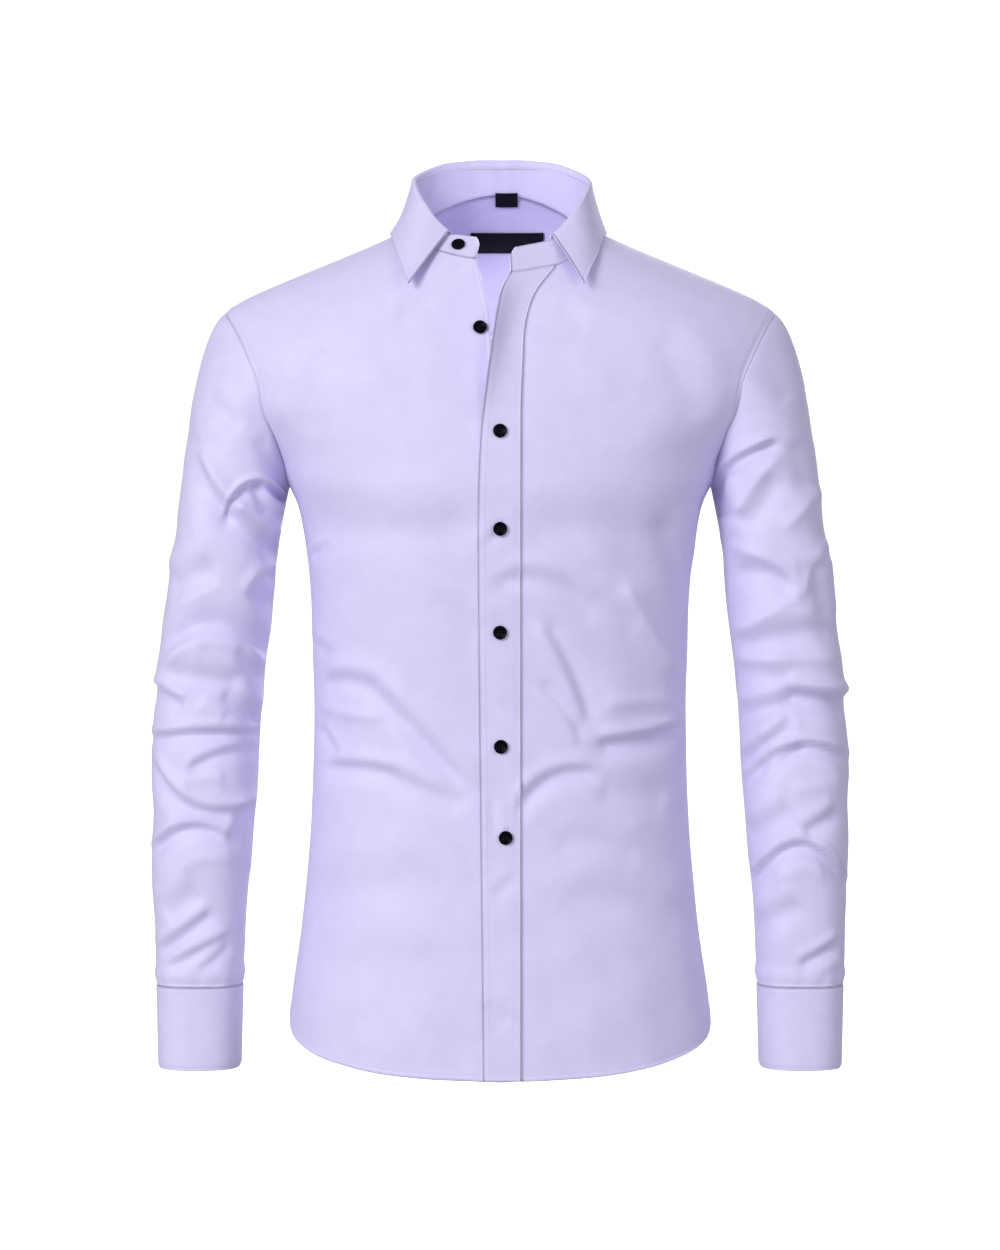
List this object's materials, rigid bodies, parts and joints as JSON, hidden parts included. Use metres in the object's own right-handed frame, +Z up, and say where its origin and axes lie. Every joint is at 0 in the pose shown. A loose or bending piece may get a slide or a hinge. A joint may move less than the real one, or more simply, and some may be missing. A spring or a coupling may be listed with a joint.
{
  "type": "long sleeve dress shirt",
  "caption": "Slim long sleeve dress shirt in plain cloth with turned-down collar, buttoned front placket, barrel cuffs and curved hem, hollow as worn.",
  "frame": {"origin": "midway between the two neck points, where collar and shoulder seams meet, which is where a wearer's shoulders carry it", "axes": "+Z up, -Y to the shirt's front, +X to the wearer's left sleeve"},
  "size_m": [0.5848, 0.228, 0.7742],
  "materials": {
    "shirting": "fine plain weave with a soft satin sheen, lavender",
    "stiffened_shirting": "the same lavender cloth over a stiff interlining, edge stitched",
    "button_plastic": "polished black",
    "label_satin": "black satin, blank"
  },
  "bodies": {
    "root": {"front_right": "shirting", "front_left": "shirting", "back": "shirting", "yoke": "shirting", "sleeve_right": "shirting", "sleeve_left": "shirting", "front_placket": "stiffened_shirting", "collar_band": "stiffened_shirting", "collar_fall": "stiffened_shirting", "cuff_right": "stiffened_shirting", "cuff_left": "stiffened_shirting", "sleeve_placket_right": "stiffened_shirting", "sleeve_placket_left": "stiffened_shirting", "button_1": "button_plastic", "button_2": "button_plastic", "button_3": "button_plastic", "button_4": "button_plastic", "button_5": "button_plastic", "button_6": "button_plastic", "button_7": "button_plastic", "cuff_button_right": "button_plastic", "cuff_button_left": "button_plastic", "neck_label": "label_satin", "size_label": "label_satin"}
  },
  "joints": []
}
